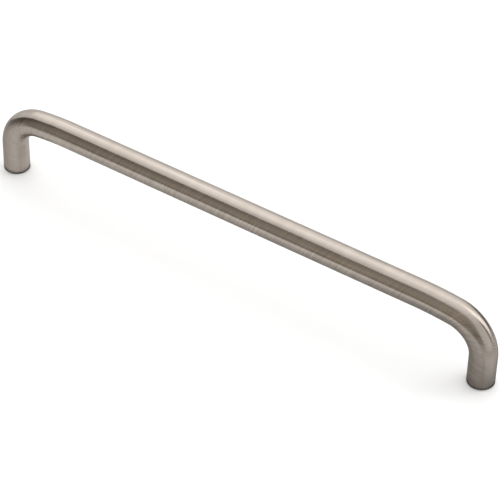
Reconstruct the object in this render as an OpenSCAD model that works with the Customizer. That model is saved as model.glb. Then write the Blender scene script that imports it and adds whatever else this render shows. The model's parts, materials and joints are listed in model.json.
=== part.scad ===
// D-bar cabinet pull: one round steel bar, bent at both ends and screwed on from behind the door.
// The mounting plane is z = 0, the grip runs along X, and the pull stands out along +Z.

/* [Bar] */
// Diameter of the round bar
bar_d = 10; // [8:0.5:12]

/* [Handle] */
// Distance between the centres of the two screw holes
hole_spacing = 203.2; // [96:0.8:320]
// Distance from the door's face to the outermost line of the grip
projection = 31.5; // [27:0.5:45]

/* [Bends] */
// Centreline radius of the tight bend above each leg
bend_r = 14; // [11:0.5:17]
// Centreline radius of the shallow arc that leads from the tight bend into the grip
lead_in_r = 120; // [60:5:180]
// Part of the quarter turn that the shallow arc makes, in degrees
lead_in_angle = 7; // [3:0.5:10]

/* [Feet] */
// Chamfer round the edge of each foot, measured along the face and up the leg
foot_chamfer = 0.4; // [0.2:0.1:1]

/* [Screw holes] */
// Diameter of the drilled hole, the tap drill for an M4 thread
tap_drill_d = 3.3; // [2.5:0.1:4.2]
// Depth of the hole's full diameter from the foot's face
hole_depth = 11; // [6:0.5:14]
// Angle of the cone that the drill's point leaves, in degrees
drill_point_angle = 118; // [90:1:140]
// Diameter of the countersunk mouth, which clears the thread's crests
mouth_d = 4.4; // [4.3:0.1:5]

/* [Hidden] */
$fn = 96;

bar_r = bar_d / 2;
leg_x = hole_spacing / 2;
grip_z = projection - bar_r;
quarter_turn = 90;
bend_angle = quarter_turn - lead_in_angle;

// The shallow arc's centre lies on the line through the tight bend's centre where the two arcs meet,
// so the bar runs smoothly from one into the other and then into the grip. Places are [x, z].
lead_in_centre = [leg_x - bend_r - (lead_in_r - bend_r) * cos(bend_angle), grip_z - lead_in_r];
bend_centre = lead_in_centre + (lead_in_r - bend_r) * [cos(bend_angle), sin(bend_angle)];

mouth_depth = (mouth_d - tap_drill_d) / 2;
drill_point_length = tap_drill_d / 2 / tan(drill_point_angle / 2);
// What is trimmed, joined or cut away runs on by this much
spare = bar_r;
// Diameter of the core that laps over each joint inside the bar
lap_d = bar_r;

// Moves its children to a place that is given as [x, z]. The whole hundredths come first and the rest
// second, so that every digit counts where two arcs have to meet without a step.
module at(place) {
    hundredths = [round(place.x * 100) / 100, round(place.y * 100) / 100];
    rest = place - hundredths;
    translate([hundredths.x, 0, hundredths.y])
        translate([rest.x, 0, rest.y])
            children();
}

// Bar bent round the origin in the XZ plane, from one angle on through another
module bent_bar(radius, from_angle, turn) {
    rotate([quarter_turn, 0, 0])
        rotate_extrude(angle = turn, start = from_angle)
            translate([radius, 0])
                circle(d = bar_d);
}

// A thin core inside the bar where two lengths meet, which reaches into both and so makes them one solid
module lap(radius, angle) {
    rotate([0, -angle, 0])
        translate([radius, 0, 0])
            cylinder(h = 2 * spare, d = lap_d, center = true);
}

// The straight leg and the tight bend above it, before the foot is cut to length
module leg_and_bend() {
    at(bend_centre) {
        translate([bend_r, 0, -bend_centre.y - spare])
            cylinder(h = bend_centre.y + spare, d = bar_d);
        lap(bend_r, 0);
        bent_bar(bend_r, 0, bend_angle);
    }
}

// The shallow lead-in and the grip next to it, which runs on past the middle of the pull
module lead_in_and_grip() {
    at(lead_in_centre) {
        lap(lead_in_r, bend_angle);
        bent_bar(lead_in_r, bend_angle, lead_in_angle);
        lap(lead_in_r, quarter_turn);
        translate([0, 0, lead_in_r])
            rotate([0, -quarter_turn, 0])
                cylinder(h = lead_in_centre.x + spare, d = bar_d);
    }
}

// What the lathe takes off one end of the bar: all below the foot's face and outside its chamfer
module foot_cut() {
    translate([leg_x, 0, 0])
        rotate_extrude()
            polygon([
                [0, 0],
                [bar_r - foot_chamfer, 0],
                [bar_r + spare, foot_chamfer + spare],
                [bar_r + spare, -2 * spare],
                [0, -2 * spare]
            ]);
}

// What the drill and the countersink take out of one foot
module screw_hole() {
    translate([leg_x, 0, 0])
        rotate_extrude()
            polygon([
                [0, -spare],
                [mouth_d / 2, -spare],
                [mouth_d / 2, 0],
                [tap_drill_d / 2, mouth_depth],
                [tap_drill_d / 2, hole_depth],
                [0, hole_depth + drill_point_length]
            ]);
}

// The half of the pull on the +X side
module half_bar() {
    difference() {
        union() {
            leg_and_bend();
            lead_in_and_grip();
        }
        foot_cut();
        screw_hole();
    }
}

module pull_bar() {
    color("#a79d94") {
        half_bar();
        mirror([1, 0, 0])
            half_bar();
    }
}

pull_bar();
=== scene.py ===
import json
from math import ceil, cos, hypot, pi, radians, sin, sqrt, tan, tau

import bpy
from mathutils import Matrix, Vector


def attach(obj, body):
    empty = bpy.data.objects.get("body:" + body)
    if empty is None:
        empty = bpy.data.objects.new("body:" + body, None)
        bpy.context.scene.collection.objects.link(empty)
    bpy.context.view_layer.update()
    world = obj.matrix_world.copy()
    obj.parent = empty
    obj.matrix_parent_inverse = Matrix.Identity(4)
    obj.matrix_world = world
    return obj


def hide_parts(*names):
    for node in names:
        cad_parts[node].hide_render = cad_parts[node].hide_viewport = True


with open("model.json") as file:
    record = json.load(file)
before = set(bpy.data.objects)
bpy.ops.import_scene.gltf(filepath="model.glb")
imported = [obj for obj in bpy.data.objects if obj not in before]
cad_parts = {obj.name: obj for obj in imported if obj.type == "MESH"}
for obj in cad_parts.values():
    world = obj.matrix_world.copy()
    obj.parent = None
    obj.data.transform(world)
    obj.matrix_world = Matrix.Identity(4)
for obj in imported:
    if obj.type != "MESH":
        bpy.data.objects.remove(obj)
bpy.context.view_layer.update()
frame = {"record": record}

# Looks of a d-bar cabinet pull: one round steel bar that is turned to length, drilled and tapped at both
# ends, bent into a D, brushed round its girth and plated in satin nickel.
# All lengths are in metres and all angles in radians.

# --- Sizes -------------------------------------------------------------------------------------------

RECORD = frame["record"]
MOUNTS = {mount["name"]: mount for mount in RECORD["mounts"]}
TOTAL_LENGTH, _, PROJECTION = RECORD["size"]["bbox_m"]
LEG_X = MOUNTS["screw_holes"]["dims"]["spacing_x_mm"] / 2000
BAR_R = TOTAL_LENGTH / 2 - LEG_X
GRIP_Z = PROJECTION - BAR_R
TAP_DRILL_R = MOUNTS["right_screw_hole"]["dims"]["r_mm"] / 1000

# The bends, as part.scad makes them: a shallow arc leads from the grip into the tight bend
BEND_R = 0.014
LEAD_IN_R = 0.120
LEAD_IN_ANGLE = radians(7)
BEND_ANGLE = pi / 2 - LEAD_IN_ANGLE

# The feet and their holes
FOOT_CHAMFER = 0.0004
ARRIS = 0.00008
MOUTH_R = 0.0022
HOLE_DEPTH = 0.011
DRILL_POINT_ANGLE = radians(118)

# The M4 thread, which the solids leave out: a groove with flanks at 60 degrees to each other
THREAD_PITCH = 0.0007
THREAD_DEPTH = 0.00035
FULL_THREAD = 0.009
THREAD_RUNOUT = 0.001
RINGS_PER_PITCH = 8

# How finely the bar's surface is divided
COLUMNS = 128
BEND_STEP = radians(1.5)
STRAIGHT_STEP = 0.005

# Lengths along the bar's centreline, from the middle of the grip outwards
GRIP_END = LEG_X - BEND_R - (LEAD_IN_R - BEND_R) * sin(LEAD_IN_ANGLE)
LEAD_IN_END = GRIP_END + LEAD_IN_R * LEAD_IN_ANGLE
BEND_END = LEAD_IN_END + BEND_R * BEND_ANGLE
BEND_DROP = LEAD_IN_R * (1 - cos(LEAD_IN_ANGLE)) + BEND_R * cos(LEAD_IN_ANGLE)
BAR_END = BEND_END + GRIP_Z - BEND_DROP


# --- Helpers -----------------------------------------------------------------------------------------

def add(tree, kind, inputs=None, **settings):
    """Adds a node, makes its settings, and fills its inputs with values, sockets or other nodes' outputs."""
    node = tree.nodes.new(kind)
    node.location.x = 200 * len(tree.nodes)
    for name, value in settings.items():
        setattr(node, name, value)
    for key, value in (inputs or {}).items():
        if isinstance(key, int):
            socket = node.inputs[key]
        else:
            socket = next(s for s in node.inputs if s.enabled and s.name == key)
        if isinstance(value, bpy.types.Node):
            value = next(s for s in value.outputs if s.enabled)
        if isinstance(value, bpy.types.NodeSocket):
            tree.links.new(value, socket)
        else:
            socket.default_value = value
    return node


def linear(hex_colour):
    """The linear colour of an sRGB hex value such as "a79d94"."""
    shares = [int(hex_colour[i:i + 2], 16) / 255 for i in (0, 2, 4)]
    return [s / 12.92 if s <= 0.04045 else ((s + 0.055) / 1.055) ** 2.4 for s in shares] + [1]


def steps(start, end, step):
    """Even steps from start up to end, no longer than step."""
    count = max(1, ceil(abs(end - start) / step))
    return [start + (end - start) * i / count for i in range(count)]


def new_material(name):
    """An empty node material, and its tree."""
    material = bpy.data.materials.new(name)
    material.use_nodes = True
    material.node_tree.nodes.clear()
    return material, material.node_tree


def place(name, data):
    """A new object at the origin that holds this data."""
    thing = bpy.data.objects.new(name, data)
    bpy.context.scene.collection.objects.link(thing)
    return thing


# --- The bar -----------------------------------------------------------------------------------------

def bend_place(station):
    """Where the centre of the bar lies at a length from the middle of the grip, and how far it has turned."""
    length = abs(station)
    side = 1 if station >= 0 else -1
    lead_in = min(max(length - GRIP_END, 0) / LEAD_IN_R, LEAD_IN_ANGLE)
    turned = lead_in + min(max(length - LEAD_IN_END, 0) / BEND_R, BEND_ANGLE)
    leg = max(length - BEND_END, 0)
    x = min(length, GRIP_END) + LEAD_IN_R * sin(lead_in)
    x += BEND_R * (sin(turned) - sin(lead_in)) + leg * cos(turned)
    z = GRIP_Z - LEAD_IN_R * (1 - cos(lead_in))
    z -= BEND_R * (cos(lead_in) - cos(turned)) + leg * sin(turned)
    return (side * x, 0, z), side * turned


def eased_corner(before, corner, after):
    """The small round that deburring leaves in place of a corner, as four points."""
    before, corner, after = Vector(before), Vector(corner), Vector(after)
    start = corner + (before - corner).normalized() * ARRIS
    end = corner + (after - corner).normalized() * ARRIS
    return [tuple(start * (1 - t) ** 2 + corner * 2 * t * (1 - t) + end * t * t) for t in (0, 1 / 3, 2 / 3, 1)]


def half_outline():
    """The turned blank's outline as (station, radius, share of the thread, in the bore), hole first."""
    mouth_depth = MOUTH_R - TAP_DRILL_R
    wall_step = THREAD_PITCH / RINGS_PER_PITCH
    tip = BAR_END - HOLE_DEPTH - TAP_DRILL_R / tan(DRILL_POINT_ANGLE / 2)
    rings = [(tip, 0, 0, 1)]
    for station in steps(BAR_END - HOLE_DEPTH, BAR_END - mouth_depth, wall_step):
        thread = (FULL_THREAD + THREAD_RUNOUT - (BAR_END - station)) / THREAD_RUNOUT
        rings.append((station, TAP_DRILL_R, min(max(thread, 0), 1), 1))
    for depth in steps(mouth_depth, 0, wall_step):
        rings.append((BAR_END - depth, MOUTH_R - depth, 1, 1))
    face = [(BAR_END, MOUTH_R), (BAR_END, BAR_R - FOOT_CHAMFER), (BAR_END - FOOT_CHAMFER, BAR_R), (0, BAR_R)]
    rings.append((*face[0], 0, 1))
    rings += [(*point, 0, 0) for corner in (1, 2) for point in eased_corner(*face[corner - 1:corner + 2])]
    stations = steps(BAR_END - FOOT_CHAMFER - 2 * ARRIS, BEND_END, STRAIGHT_STEP)
    stations += steps(BEND_END, LEAD_IN_END, BEND_R * BEND_STEP)
    stations += steps(LEAD_IN_END, GRIP_END, LEAD_IN_R * BEND_STEP)
    stations += steps(GRIP_END, 0, STRAIGHT_STEP)
    return rings + [(station, BAR_R, 0, 0) for station in stations]


def ring_points():
    """A line of points at the rings' centres, from hole to hole, with what the sweep needs at each."""
    half = half_outline()
    rings = half + [(0, BAR_R, 0, 0)] + [(-station, *rest) for station, *rest in reversed(half)]
    places = [bend_place(ring[0]) for ring in rings]
    along = [0]
    for one, other in zip(rings, rings[1:]):
        along.append(along[-1] + hypot(other[0] - one[0], other[1] - one[1]))
    mesh = bpy.data.meshes.new("ring_centres")
    mesh.from_pydata([centre for centre, turned in places], [(i, i + 1) for i in range(len(rings) - 1)], [])
    values = {
        "heading": [turned for centre, turned in places],
        "station": [ring[0] for ring in rings],
        "radius": [ring[1] for ring in rings],
        "thread": [ring[2] for ring in rings],
        "bore": [ring[3] for ring in rings],
        "along": along,
    }
    for name, numbers in values.items():
        mesh.attributes.new(name, "FLOAT", "POINT").data.foreach_set("value", numbers)
    return mesh, along[-1]


def sweep_tree():
    """Geometry Nodes that wrap a sheet round the line of ring centres and cut the thread into it."""
    tree = bpy.data.node_groups.new("bar_sweep", "GeometryNodeTree")
    sockets = {
        "Ring Centres": "Geometry", "Columns": "Int", "Outline Length": "Float", "Tap Drill Radius": "Float",
        "Thread Pitch": "Float", "Thread Depth": "Float", "Flank Start": "Float", "Flank End": "Float",
        "Material": "Material",
    }
    for name, kind in sockets.items():
        tree.interface.new_socket(name, in_out="INPUT", socket_type="NodeSocket" + kind)
    tree.interface.new_socket("Bar", in_out="OUTPUT", socket_type="NodeSocketGeometry")
    given = add(tree, "NodeGroupInput").outputs
    centres = given["Ring Centres"]

    # A flat sheet has one row of points for each ring, and its last column closes the turn
    ring_count = add(tree, "GeometryNodeAttributeDomainSize", {"Geometry": centres}).outputs["Point Count"]
    columns = add(tree, "FunctionNodeIntegerMath", {0: given["Columns"], 1: 1}, operation="ADD")
    sheet = add(tree, "GeometryNodeMeshGrid", {"Vertices X": ring_count, "Vertices Y": columns})
    index = add(tree, "GeometryNodeInputIndex")
    ring = add(tree, "FunctionNodeIntegerMath", {0: index, 1: columns}, operation="DIVIDE_FLOOR")
    column = add(tree, "FunctionNodeIntegerMath", {0: index, 1: columns}, operation="MODULO")
    turn = add(tree, "ShaderNodeMath", {0: column, 1: given["Columns"]}, operation="DIVIDE")

    # What each point takes from its ring
    at_ring = {}
    for name in ("heading", "station", "radius", "thread", "bore", "along"):
        value = add(tree, "GeometryNodeInputNamedAttribute", {"Name": name}, data_type="FLOAT")
        at_ring[name] = add(tree, "GeometryNodeSampleIndex",
                            {"Geometry": centres, "Value": value, "Index": ring}, data_type="FLOAT")
    centre = add(tree, "GeometryNodeSampleIndex",
                 {"Geometry": centres, "Value": add(tree, "GeometryNodeInputPosition"), "Index": ring},
                 data_type="FLOAT_VECTOR")

    # The groove moves on by one pitch a turn, so it is a helix
    pitches = add(tree, "ShaderNodeMath", {0: at_ring["station"], 1: given["Thread Pitch"]}, operation="DIVIDE")
    phase = add(tree, "ShaderNodeMath", {0: pitches, 1: turn}, operation="ADD")
    wave = add(tree, "ShaderNodeMath", {0: phase, 1: 0.5}, operation="PINGPONG")
    groove = add(tree, "ShaderNodeMapRange", {
        "Value": wave, "From Min": given["Flank Start"], "From Max": given["Flank End"],
        "To Max": given["Thread Depth"]})
    cut = add(tree, "ShaderNodeMath", {0: groove, 1: at_ring["thread"]}, operation="MULTIPLY")
    core = add(tree, "ShaderNodeMath", {0: at_ring["radius"], 1: given["Tap Drill Radius"]}, operation="MINIMUM")
    threaded = add(tree, "ShaderNodeMath", {0: core, 1: cut}, operation="ADD")
    radius = add(tree, "ShaderNodeMath", {0: at_ring["radius"], 1: threaded}, operation="MAXIMUM")

    # Each ring is a circle across the bar that leans with the bend
    angle = add(tree, "ShaderNodeMath", {0: turn, 1: tau}, operation="MULTIPLY")
    sine = add(tree, "ShaderNodeMath", {0: angle}, operation="SINE")
    cosine = add(tree, "ShaderNodeMath", {0: angle}, operation="COSINE")
    side = add(tree, "ShaderNodeMath", {0: sine, 1: radius}, operation="MULTIPLY")
    top = add(tree, "ShaderNodeMath", {0: cosine, 1: radius}, operation="MULTIPLY")
    upright = add(tree, "ShaderNodeCombineXYZ", {"Y": side, "Z": top})
    leaning = add(tree, "ShaderNodeVectorRotate", {"Vector": upright, "Angle": at_ring["heading"]},
                  rotation_type="Y_AXIS")
    position = add(tree, "ShaderNodeVectorMath", {0: centre, 1: leaning}, operation="ADD")
    bar = add(tree, "GeometryNodeSetPosition", {"Geometry": sheet, "Position": position})

    # The finish follows the bar as it was before bending, so its place on the blank is kept
    turned = add(tree, "ShaderNodeCombineXYZ", {"X": at_ring["along"], "Y": side, "Z": top})
    bar = add(tree, "GeometryNodeStoreNamedAttribute", {"Geometry": bar, "Name": "place_on_blank", "Value": turned},
              data_type="FLOAT_VECTOR", domain="POINT")
    bar = add(tree, "GeometryNodeStoreNamedAttribute", {"Geometry": bar, "Name": "bore", "Value": at_ring["bore"]},
              data_type="FLOAT", domain="POINT")
    share = add(tree, "ShaderNodeMath", {0: at_ring["along"], 1: given["Outline Length"]}, operation="DIVIDE")
    flat = add(tree, "ShaderNodeCombineXYZ", {"X": share, "Y": turn})
    flat = add(tree, "GeometryNodeFieldOnDomain", {"Value": flat}, data_type="FLOAT_VECTOR", domain="POINT")
    bar = add(tree, "GeometryNodeStoreNamedAttribute", {"Geometry": bar, "Name": "bar_uv", "Value": flat},
              data_type="FLOAT2", domain="CORNER")

    # The seam and the two drill points close here
    bar = add(tree, "GeometryNodeMergeByDistance", {"Geometry": bar, "Distance": 1e-6})
    bar = add(tree, "GeometryNodeSetShadeSmooth", {"Geometry": bar, "Shade Smooth": True})
    bar = add(tree, "GeometryNodeRealizeInstances", {"Geometry": bar})
    bar = add(tree, "GeometryNodeSetMaterial", {"Geometry": bar, "Material": given["Material"]})
    add(tree, "NodeGroupOutput", {"Bar": bar})
    return tree


def make_bar(material):
    """The whole pull as one closed mesh."""
    centres, outline_length = ring_points()
    bar = place("satin_bar", centres)
    tree = sweep_tree()
    flank = THREAD_DEPTH / sqrt(3) / THREAD_PITCH
    sizes = {
        "Columns": COLUMNS, "Outline Length": outline_length, "Tap Drill Radius": TAP_DRILL_R,
        "Thread Pitch": THREAD_PITCH, "Thread Depth": THREAD_DEPTH,
        "Flank Start": (0.5 - flank) / 2, "Flank End": (0.5 + flank) / 2, "Material": material,
    }
    modifier = bar.modifiers.new("bar_sweep", "NODES")
    modifier.node_group = tree
    for socket in tree.interface.items_tree:
        if socket.name in sizes:
            modifier[socket.identifier] = sizes[socket.name]
    depsgraph = bpy.context.evaluated_depsgraph_get()
    mesh = bpy.data.meshes.new_from_object(
        bar.evaluated_get(depsgraph), preserve_all_data_layers=True, depsgraph=depsgraph)
    bar.modifiers.remove(modifier)
    bar.data = mesh
    mesh.name = "satin_bar"
    mesh.set_sharp_from_angle(angle=radians(30))
    return bar


# --- The finish --------------------------------------------------------------------------------------

def satin_nickel():
    """Satin nickel on steel that was brushed round its girth with a fine abrasive belt.

    To the eye: a warm grey metal whose reflections smear along the bar and stay crisp across it, with
    fine lines round it that show in its darker bands. The bore is plated too, but thinly and unbrushed.
    """
    material, tree = new_material("satin_nickel_brushed")
    blank = add(tree, "ShaderNodeAttribute", attribute_name="place_on_blank").outputs["Vector"]
    bore = add(tree, "ShaderNodeAttribute", attribute_name="bore").outputs["Fac"]

    # The belt crossed the bar at a slant, so its lines lean by about 33 degrees on the front
    slant = add(tree, "ShaderNodeVectorMath", {0: blank, 1: (1.0, 0.44, 0.47)}, operation="DOT_PRODUCT")
    spot = add(tree, "ShaderNodeSeparateXYZ", {"Vector": blank}).outputs
    slanted = add(tree, "ShaderNodeCombineXYZ", {"X": slant.outputs["Value"], "Y": spot["Y"], "Z": spot["Z"]})
    # Belt lines: the real ones are some 0.05 mm apart, too fine to show, so they are drawn 0.45 mm apart
    fine = add(tree, "ShaderNodeMapping", {"Vector": slanted, "Scale": (1 / 0.00045, 1 / 0.009, 1 / 0.009)})
    lines = add(tree, "ShaderNodeTexNoise", {"Vector": fine, "Scale": 1.0, "Detail": 2.0, "Roughness": 0.6})
    # Broader bands where the belt dwelt, about 4 mm wide
    broad = add(tree, "ShaderNodeMapping", {"Vector": blank, "Scale": (1 / 0.004, 1 / 0.02, 1 / 0.02)})
    bands = add(tree, "ShaderNodeTexNoise", {"Vector": broad, "Scale": 1.0, "Detail": 1.0})
    # Faint streaks along the bar, left from drawing it through a die, about 1 mm wide
    long = add(tree, "ShaderNodeMapping", {"Vector": blank, "Scale": (1 / 0.03, 1 / 0.001, 1 / 0.001)})
    streaks = add(tree, "ShaderNodeTexNoise", {"Vector": long, "Scale": 1.0, "Detail": 1.0})

    # The belt pressed hardest on the bar's front and back, and least along its top
    sideways = add(tree, "ShaderNodeMath", {0: spot["Y"]}, operation="ABSOLUTE")
    pressure = add(tree, "ShaderNodeMapRange", {"Value": sideways, "From Min": BAR_R / 2, "From Max": BAR_R,
                                                "To Min": 0.4, "To Max": 2.4})
    relief = add(tree, "ShaderNodeMath", {0: lines, 1: 0.5}, operation="SUBTRACT")
    relief = add(tree, "ShaderNodeMath", {0: relief, 1: pressure}, operation="MULTIPLY")
    marks = add(tree, "ShaderNodeMath", {0: streaks, 1: 0.8, 2: relief}, operation="MULTIPLY_ADD")
    marks = add(tree, "ShaderNodeMath", {0: bands, 1: 0.6, 2: marks}, operation="MULTIPLY_ADD")
    marks = add(tree, "ShaderNodeMapRange", {"Value": marks, "From Min": 0.30, "From Max": 1.10})
    nickel = add(tree, "ShaderNodeMix", {"Factor": marks, "A": linear("9a9189"), "B": linear("b0a79e")},
                 data_type="RGBA")
    colour = add(tree, "ShaderNodeMix", {"Factor": bore, "A": nickel, "B": linear("8f8882")}, data_type="RGBA")
    brushed = add(tree, "ShaderNodeMapRange", {"Value": lines, "From Min": 0.3, "From Max": 0.7,
                                               "To Min": 0.20, "To Max": 0.26})
    belted = add(tree, "ShaderNodeMapRange", {"Value": bands, "From Min": 0.3, "From Max": 0.7,
                                              "To Min": -0.015, "To Max": 0.015})
    # The deepest belt lines scatter more light, and they end above the legs, where the belt couldn't reach
    height = add(tree, "ShaderNodeTexCoord").outputs["Object"]
    height = add(tree, "ShaderNodeSeparateXYZ", {"Vector": height}).outputs["Z"]
    depth = add(tree, "ShaderNodeMapRange", {"Value": height, "From Min": 0.010, "From Max": 0.024,
                                             "To Min": 0.0, "To Max": 0.05})
    scratched = add(tree, "ShaderNodeMapRange", {"Value": lines, "From Min": 0.62, "From Max": 0.72,
                                                 "To Min": 0.0, "To Max": depth})
    outside = add(tree, "ShaderNodeMath", {0: brushed, 1: belted}, operation="ADD")
    outside = add(tree, "ShaderNodeMath", {0: outside, 1: scratched}, operation="ADD")
    roughness = add(tree, "ShaderNodeMix", {"Factor": bore, "A": outside, "B": 0.42}, data_type="FLOAT")
    bump = add(tree, "ShaderNodeBump", {"Height": lines, "Strength": 0.4, "Distance": 0.00003})
    tangent = add(tree, "ShaderNodeTangent", direction_type="UV_MAP", uv_map="bar_uv")
    metal = add(tree, "ShaderNodeBsdfPrincipled", {
        "Base Color": colour, "Metallic": 1.0, "Roughness": roughness, "Anisotropic": 0.9,
        "Specular Tint": (0.7, 0.7, 0.7, 1), "Normal": bump, "Tangent": tangent})
    add(tree, "ShaderNodeOutputMaterial", {"Surface": metal})
    return material


# --- The studio --------------------------------------------------------------------------------------

WHITE = (1, 1, 1, 1)


def direction(azimuth, elevation):
    """The unit vector towards the surroundings: azimuth from the back (+Y) towards the right (+X)."""
    azimuth, elevation = radians(azimuth), radians(elevation)
    return Vector((sin(azimuth) * cos(elevation), cos(azimuth) * cos(elevation), sin(elevation)))


def softbox(name, centre, size, radiance, aim=(0, 0, 0)):
    """A rectangular lamp, which adds this radiance to the white surroundings where the metal mirrors it."""
    lamp = bpy.data.lights.new(name, "AREA")
    lamp.shape = "RECTANGLE"
    lamp.size, lamp.size_y = size
    lamp.energy = radiance * pi * size[0] * size[1]
    thing = place(name, lamp)
    thing.location = centre
    thing.rotation_euler = (Vector(centre) - Vector(aim)).to_track_quat("Z", "Y").to_euler()
    thing.visible_camera = False
    return lamp


def fade_to_edges(lamp):
    """Makes a lamp bright across its middle, as a deep softbox is, and brighter to the left than the right."""
    lamp.use_nodes = True
    tree = lamp.node_tree
    tree.nodes.clear()
    lit = add(tree, "ShaderNodeNewGeometry").outputs
    share = add(tree, "ShaderNodeSeparateXYZ", {"Vector": lit["Parametric"]}).outputs
    spot = add(tree, "ShaderNodeSeparateXYZ", {"Vector": lit["Position"]}).outputs
    from_edge = add(tree, "ShaderNodeMath", {0: share["Y"], 1: 0.5}, operation="PINGPONG")
    middle = add(tree, "ShaderNodeMapRange", {"Value": from_edge, "From Max": 0.5})
    leftwards = add(tree, "ShaderNodeMapRange", {"Value": spot["X"], "From Min": -1.5, "From Max": 0.4,
                                                 "To Min": 1.45, "To Max": 0.6})
    strength = add(tree, "ShaderNodeMath", {0: middle, 1: leftwards}, operation="MULTIPLY")
    glow = add(tree, "ShaderNodeEmission", {"Color": WHITE, "Strength": strength})
    add(tree, "ShaderNodeOutputLight", {"Surface": glow})


def pale_floor():
    """A matt white sheet that the feet stand on, with the faint mottle of card."""
    material, tree = new_material("matt_white_card")
    place_on_floor = add(tree, "ShaderNodeTexCoord").outputs["Object"]
    mottle = add(tree, "ShaderNodeTexNoise", {"Vector": place_on_floor, "Scale": 25.0, "Detail": 2.0})
    colour = add(tree, "ShaderNodeMix", {"Factor": mottle, "A": linear("f6f6f5"), "B": linear("f8f8f7")},
                 data_type="RGBA")
    card = add(tree, "ShaderNodeBsdfPrincipled", {"Base Color": colour, "Roughness": 0.9})
    add(tree, "ShaderNodeOutputMaterial", {"Surface": card})
    mesh = bpy.data.meshes.new("floor")
    reach = 2.5
    mesh.from_pydata([(-reach, -reach, 0), (reach, -reach, 0), (reach, reach, 0), (-reach, reach, 0)], [], [(0, 1, 2, 3)])
    mesh.materials.append(material)
    place("floor", mesh)


def glowing_warm_grey_card():
    """A glowing warm grey with painted shade that darkens it to the left, upwards and in its fold, as card does
    where it lies in shade.
    """
    material, tree = new_material("glowing_warm_grey_card")
    spot = add(tree, "ShaderNodeTexCoord").outputs["Object"]
    spot = add(tree, "ShaderNodeSeparateXYZ", {"Vector": spot}).outputs
    leftwards = add(tree, "ShaderNodeMapRange", {"Value": spot["X"], "From Min": -1.4, "From Max": -0.4,
                                                 "To Min": 0.2, "To Max": 1.0})
    upwards = add(tree, "ShaderNodeMapRange", {"Value": spot["Z"], "From Min": 0.3, "From Max": 1.3,
                                               "To Min": 1.0, "To Max": 0.7})
    middle = add(tree, "ShaderNodeMapRange", {"Value": spot["X"], "From Min": -0.5, "From Max": -0.1,
                                              "To Min": 0.6, "To Max": 1.05})
    upwards = add(tree, "ShaderNodeMath", {0: upwards, 1: middle}, operation="MAXIMUM")
    above_fold = add(tree, "ShaderNodeMapRange", {"Value": spot["Z"], "From Max": 0.16,
                                                  "To Min": 0.55, "To Max": 1.0})
    before_fold = add(tree, "ShaderNodeMapRange", {"Value": spot["Y"], "From Min": -0.25, "From Max": -0.105,
                                                   "To Min": 0.55, "To Max": 1.0})
    fold = add(tree, "ShaderNodeMath", {0: above_fold, 1: before_fold}, operation="MAXIMUM")
    # Painted shade: low down on the right, where the camera stands before it, it is darker too
    rightwards = add(tree, "ShaderNodeMapRange", {"Value": spot["X"], "From Min": 0.1, "From Max": 0.5,
                                                  "To Min": 1.0, "To Max": 0.55})
    high = add(tree, "ShaderNodeMapRange", {"Value": spot["Z"], "From Min": 0.3, "From Max": 0.9,
                                            "To Min": 0.55, "To Max": 1.0})
    right = add(tree, "ShaderNodeMath", {0: rightwards, 1: high}, operation="MAXIMUM")
    strength = add(tree, "ShaderNodeMath", {0: leftwards, 1: upwards}, operation="MULTIPLY")
    strength = add(tree, "ShaderNodeMath", {0: strength, 1: right}, operation="MULTIPLY")
    strength = add(tree, "ShaderNodeMath", {0: strength, 1: fold}, operation="MULTIPLY")
    glow = add(tree, "ShaderNodeEmission", {"Color": linear("cbc3b8"), "Strength": strength})
    add(tree, "ShaderNodeOutputMaterial", {"Surface": glow})
    return material


def glowing_dark_grey_card():
    """A plain darker grey glow, for the cards that draw thin dark lines on the right bend."""
    material, tree = new_material("glowing_dark_grey_card")
    glow = add(tree, "ShaderNodeEmission", {"Color": linear("857f78")})
    add(tree, "ShaderNodeOutputMaterial", {"Surface": glow})
    return material


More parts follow.
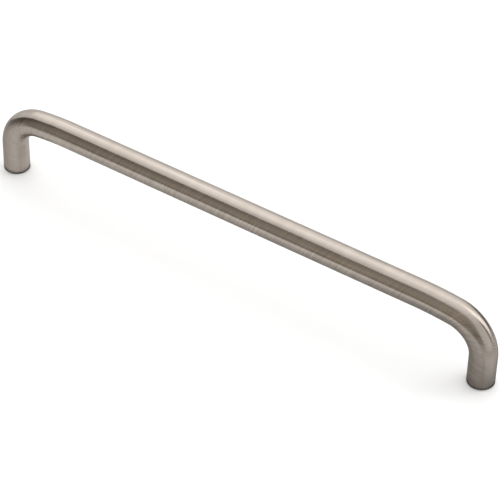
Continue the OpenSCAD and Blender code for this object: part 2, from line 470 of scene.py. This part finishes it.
def ground_shade():
    """Painted shade: a see-through black that darkens what the metal mirrors of the floor: a line under the grip, a
    pool and a thin ring round each foot, and the floor's far left."""
    material, tree = new_material("ground_shade")
    spot = add(tree, "ShaderNodeTexCoord").outputs["Object"]
    spot = add(tree, "ShaderNodeSeparateXYZ", {"Vector": spot}).outputs

    # Painted shade, where each value is the share of light that is left: under the grip, less of it towards the
    # right end
    on_line = add(tree, "ShaderNodeMapRange", {"Value": spot["X"], "From Min": -0.085, "From Max": 0.085,
                                               "To Min": 0.72, "To Max": 0.33})
    off_line = add(tree, "ShaderNodeMath", {0: spot["Y"], 1: 0.012}, operation="SUBTRACT")
    off_line = add(tree, "ShaderNodeMath", {0: off_line}, operation="ABSOLUTE")
    grip = add(tree, "ShaderNodeMapRange", {"Value": off_line, "From Max": 0.07, "To Min": on_line, "To Max": 1.0})
    past_left = add(tree, "ShaderNodeMapRange", {"Value": spot["X"], "From Min": -0.072, "From Max": -0.088})
    past_right = add(tree, "ShaderNodeMapRange", {"Value": spot["X"], "From Min": 0.095, "From Max": 0.125})
    past_end = add(tree, "ShaderNodeMath", {0: past_left, 1: past_right}, operation="MAXIMUM")
    grip = add(tree, "ShaderNodeMath", {0: grip, 1: past_end}, operation="MAXIMUM")

    # Painted shade round each foot, less light left on the left than on the right
    leg = add(tree, "ShaderNodeMath", {0: spot["X"]}, operation="SIGN")
    beside = add(tree, "ShaderNodeMath", {0: leg, 1: -LEG_X, 2: spot["X"]}, operation="MULTIPLY_ADD")
    distance = add(tree, "ShaderNodeCombineXYZ", {"X": beside, "Y": spot["Y"]})
    distance = add(tree, "ShaderNodeVectorMath", {0: distance}, operation="LENGTH").outputs["Value"]
    rightwards = add(tree, "ShaderNodeMath", {0: beside, 1: distance}, operation="DIVIDE")
    swing = add(tree, "ShaderNodeMapRange", {"Value": leg, "From Min": -1.0, "To Min": 0.28, "To Max": 0.14})
    pool = add(tree, "ShaderNodeMapRange", {"Value": leg, "From Min": -1.0, "To Min": 0.92, "To Max": 0.65})
    pool = add(tree, "ShaderNodeMath", {0: rightwards, 1: swing, 2: pool}, operation="MULTIPLY_ADD")
    close = add(tree, "ShaderNodeMapRange", {"Value": leg, "To Min": 0.0, "To Max": 0.30})
    close = add(tree, "ShaderNodeMapRange", {"Value": distance, "From Min": 0.006, "From Max": 0.026,
                                             "To Min": close, "To Max": 0.0})
    pool = add(tree, "ShaderNodeMath", {0: pool, 1: close}, operation="ADD")
    pool = add(tree, "ShaderNodeMapRange", {"Value": distance, "From Min": 0.035, "From Max": 0.095,
                                            "To Min": pool, "To Max": 1.0})
    ring = add(tree, "ShaderNodeMapRange", {"Value": distance, "From Min": 0.0057, "From Max": 0.0067,
                                            "To Min": 0.05, "To Max": 1.0})
    foot = add(tree, "ShaderNodeMath", {0: pool, 1: ring}, operation="MINIMUM")

    # Painted shade towards the left, and only in front of the pull
    left = add(tree, "ShaderNodeMapRange", {"Value": spot["X"], "From Min": -0.23, "From Max": -0.09,
                                            "To Min": 0.28, "To Max": 1.0})
    behind = add(tree, "ShaderNodeMapRange", {"Value": spot["Y"], "From Max": 0.05})
    left = add(tree, "ShaderNodeMath", {0: left, 1: behind}, operation="MAXIMUM")

    # Painted shade beyond the right foot
    right = add(tree, "ShaderNodeMapRange", {"Value": spot["X"], "From Min": 0.118, "From Max": 0.140,
                                             "To Min": 1.0, "To Max": 0.62})

    clear = add(tree, "ShaderNodeMath", {0: grip, 1: foot}, operation="MINIMUM")
    clear = add(tree, "ShaderNodeMath", {0: clear, 1: left}, operation="MINIMUM")
    clear = add(tree, "ShaderNodeMath", {0: clear, 1: right}, operation="MINIMUM")
    black = add(tree, "ShaderNodeEmission", {"Strength": 0.0})
    glass = add(tree, "ShaderNodeBsdfTransparent")
    mixed = add(tree, "ShaderNodeMixShader", {0: clear, 1: black, 2: glass})
    add(tree, "ShaderNodeOutputMaterial", {"Surface": mixed})
    return material


def card(name, profile, left, right, material):
    """A folded card with this (y, z) profile between two x, which shows only where the metal mirrors it."""
    points = [(x, y, z) for x in (left, right) for y, z in profile]
    row = len(profile)
    mesh = bpy.data.meshes.new(name)
    mesh.from_pydata(points, [], [(i, i + 1, i + row + 1, i + row) for i in range(row - 1)])
    mesh.materials.append(material)
    thing = place(name, mesh)
    thing.visible_camera = False
    thing.visible_diffuse = False
    thing.visible_shadow = False


def dim_cards():
    """What the metal mirrors in its dark bands: a card that lies before the pull and stands up behind the
    camera, the painted shade on the floor, and cards at the back that frame the right bend's bright line. The cards
    glow."""
    grey, dark = glowing_warm_grey_card(), glowing_dark_grey_card()
    lying = 0.0005
    card("front_card", [(-0.105, lying), (-0.9, lying), (-0.9, 1.84)], -8.0, 1.3, grey)
    # A see-through sheet of painted shade just above the floor
    card("ground_shade", [(0.085, lying / 5), (-0.105, lying / 5)], -8.0, 0.205, ground_shade())
    card("far_card", [(0.50, lying), (1.2, lying), (1.2, 0.19)], -0.15, 0.06, grey)
    card("back_card", [(0.09, lying), (1.2, lying), (1.2, 0.27)], 0.06, 0.80, dark)
    card("side_card", [(0.65, 0.05), (0.65, 1.60)], 1.06, 1.75, dark)


def white_surroundings():
    """White all round for the eye and for what the metal mirrors, and dimmer as a light on matt things."""
    world = bpy.data.worlds.new("white_surroundings")
    world.use_nodes = True
    tree = world.node_tree
    tree.nodes.clear()
    ray = add(tree, "ShaderNodeLightPath").outputs
    seen = add(tree, "ShaderNodeMath", {0: ray["Is Camera Ray"], 1: ray["Is Glossy Ray"]}, operation="MAXIMUM")
    seen = add(tree, "ShaderNodeMath", {0: seen, 1: ray["Is Transmission Ray"]}, operation="MAXIMUM")
    strength = add(tree, "ShaderNodeMapRange", {"Value": seen, "To Min": 0.9, "To Max": 1.0})
    background = add(tree, "ShaderNodeBackground", {"Color": WHITE, "Strength": strength})
    add(tree, "ShaderNodeOutputWorld", {"Surface": background})
    bpy.context.scene.world = world


def studio():
    """The floor, the lamps and the surroundings."""
    pale_floor()
    dim_cards()
    white_surroundings()
    softbox("overhead_softbox", (-0.8, 0.1, 1.0), (3.4, 1.18), 0.2, aim=(-0.8, 0.1, 0))
    middle = Vector((-0.175, 0, 0))
    fade_to_edges(softbox("back_softbox", middle + direction(0, 55) * 1.4, (2.65, 3.34), 1.0, aim=middle))
    softbox("strip_light", direction(42, 32) * 1.4, (0.60, 1.45), 1.25)


def camera():
    """The photograph's view, from the front left and above."""
    data = bpy.data.cameras.new("camera")
    data.sensor_width = 36
    data.lens = 167.23
    data.clip_end = 20
    thing = place("camera", data)
    turn = Matrix.Rotation(radians(33.646), 3, "Z")
    turn = turn @ Matrix.Rotation(pi / 2 - radians(40.335), 3, "X") @ Matrix.Rotation(radians(1.292), 3, "Z")
    thing.location = turn @ Vector((0.004651, 0.006525, 0.8394))
    thing.rotation_euler = turn.to_euler()
    bpy.context.scene.camera = thing


# --- The scene ---------------------------------------------------------------------------------------

camera()
studio()
bar = make_bar(satin_nickel())
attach(bar, "root")
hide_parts("pull_bar")
bpy.context.scene.view_settings.view_transform = "Standard"
